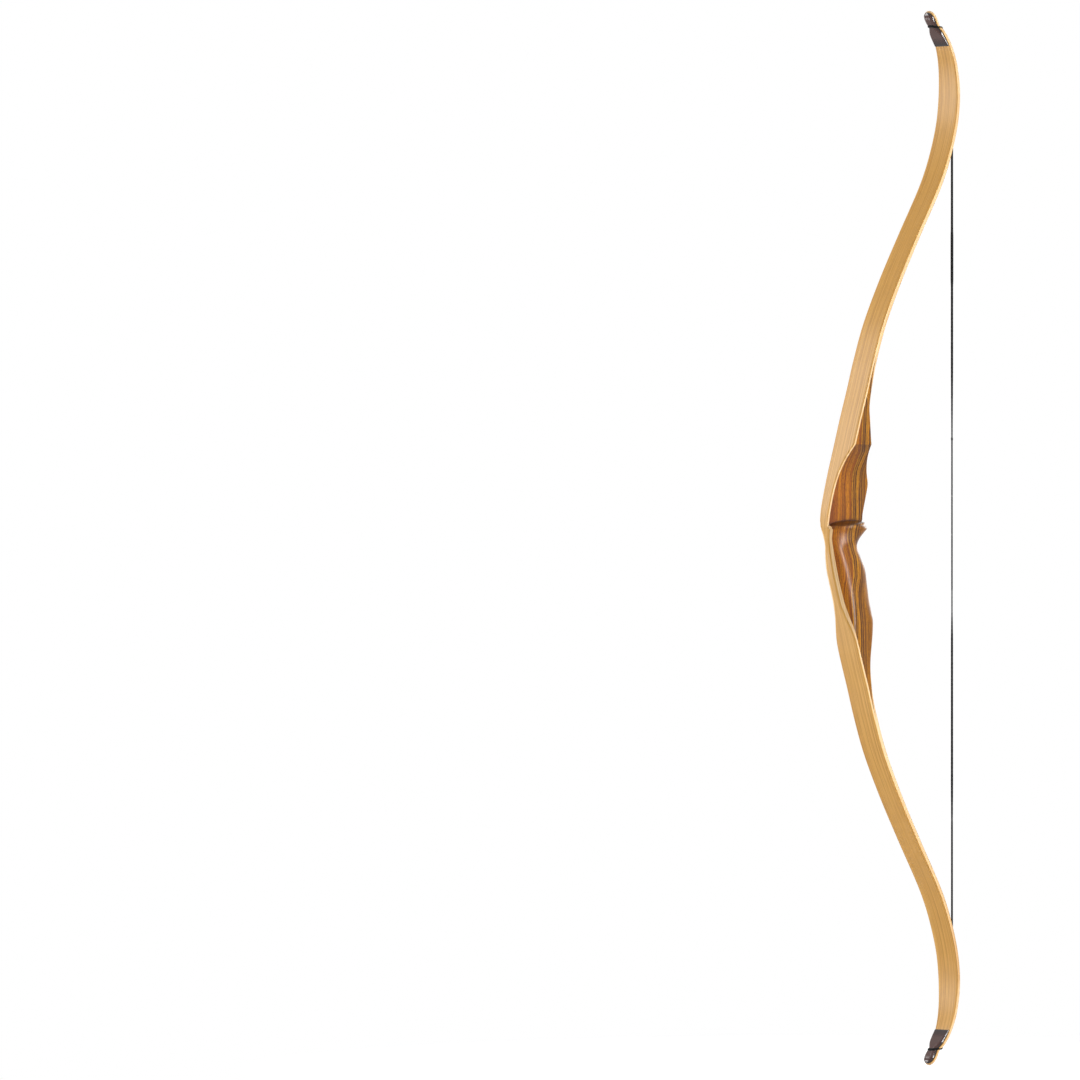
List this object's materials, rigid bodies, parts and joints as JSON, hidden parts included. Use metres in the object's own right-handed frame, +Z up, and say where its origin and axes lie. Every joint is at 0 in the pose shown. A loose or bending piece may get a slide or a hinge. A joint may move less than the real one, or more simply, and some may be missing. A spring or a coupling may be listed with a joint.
{
  "type": "recurve bow",
  "caption": "Strung one-piece wooden recurve bow: shaped handle with sight window and arrow shelf, laminated limbs that flex, dark tip overlays and a served black string that draws.",
  "frame": {"origin": "deepest point of the grip's throat, on the belly side, where the bow hand pushes", "axes": "+Z up along the bow to the upper tip, -Y towards the target, +Y towards the archer and the string, +X the side with the sight window"},
  "size_m": [0.0384, 0.2395, 1.4272],
  "materials": {
    "riser_wood": "clear satin over striped brown hardwood",
    "limb_wood": "light straight-grained wood strip",
    "clear_glass_fibre": "clear glass-fibre laminate, glossy, showing the wood under it",
    "tip_overlay": "polished dark brown hard laminate",
    "string_strands": "waxed black polyester strands, lightly twisted",
    "string_serving": "tight black wound serving thread"
  },
  "bodies": {
    "handle": {"riser": "riser_wood", "handle_back_core": "limb_wood", "handle_back_glass": "clear_glass_fibre", "upper_fade_belly_core": "limb_wood", "upper_fade_belly_glass": "clear_glass_fibre", "lower_fade_belly_core": "limb_wood", "lower_fade_belly_glass": "clear_glass_fibre"},
    "upper_limb": {"upper_back_core": "limb_wood", "upper_back_glass": "clear_glass_fibre", "upper_belly_core": "limb_wood", "upper_belly_glass": "clear_glass_fibre", "upper_tip_overlay": "tip_overlay"},
    "upper_string_end": {"upper_string_loop": "string_serving", "upper_loop_tail": "string_serving"},
    "upper_string": {"upper_end_serving": "string_serving", "upper_strands": "string_strands", "upper_centre_serving": "string_serving"},
    "lower_limb": {"lower_back_core": "limb_wood", "lower_back_glass": "clear_glass_fibre", "lower_belly_core": "limb_wood", "lower_belly_glass": "clear_glass_fibre", "lower_tip_overlay": "tip_overlay"},
    "lower_string_end": {"lower_string_loop": "string_serving", "lower_loop_tail": "string_serving"},
    "lower_string": {"lower_end_serving": "string_serving", "lower_strands": "string_strands", "lower_centre_serving": "string_serving"},
    "nocking_section": {"nocking_serving": "string_serving"}
  },
  "joints": [
    {"name": "upper_limb_flex", "type": "hinge", "parent": "handle", "child": "upper_limb", "pos_m": [0, 0.05482, 0.32843], "axis": [-1, 0, 0], "range_deg": [0, 28.36], "stiffness_Nm_per_rad": 140},
    {"name": "lower_limb_flex", "type": "hinge", "parent": "handle", "child": "lower_limb", "pos_m": [0, 0.05482, -0.30543], "axis": [1, 0, 0], "range_deg": [0, 27], "stiffness_Nm_per_rad": 140},
    {"name": "upper_loop_turn", "type": "hinge", "parent": "upper_limb", "child": "upper_string_end", "pos_m": [0, 0.154, 0.7035], "axis": [1, 0, 0], "range_deg": [0, 27.6], "deforming": ["upper_string_loop"]},
    {"name": "lower_loop_turn", "type": "hinge", "parent": "lower_limb", "child": "lower_string_end", "pos_m": [0, 0.154, -0.6805], "axis": [-1, 0, 0], "range_deg": [0, 23.8], "deforming": ["lower_string_loop"]},
    {"name": "upper_string_lift", "type": "hinge", "parent": "upper_string_end", "child": "upper_string", "pos_m": [0, 0.185, 0.6565], "axis": [1, 0, 0], "range_deg": [0, 33.5], "deforming": ["upper_loop_tail"]},
    {"name": "lower_string_lift", "type": "hinge", "parent": "lower_string_end", "child": "lower_string", "pos_m": [0, 0.185, -0.6335], "axis": [-1, 0, 0], "range_deg": [0, 33.5], "deforming": ["lower_loop_tail"]},
    {"name": "string_draw", "type": "slide", "parent": "handle", "child": "nocking_section", "axis": [0, 1, 0], "range_m": [0, 0.4825]}
  ],
  "couplings": [
    {"joint": "lower_limb_flex", "follows": "upper_limb_flex", "ratio": 0.95172},
    {"joint": "upper_loop_turn", "follows": "upper_limb_flex", "ratio": 0.97219},
    {"joint": "upper_string_lift", "follows": "upper_limb_flex", "ratio": 1.1778},
    {"joint": "lower_loop_turn", "follows": "upper_limb_flex", "ratio": 0.8364},
    {"joint": "lower_string_lift", "follows": "upper_limb_flex", "ratio": 1.1778},
    {"joint": "string_draw", "follows": "upper_limb_flex", "m_per_rad": 0.97363}
  ]
}
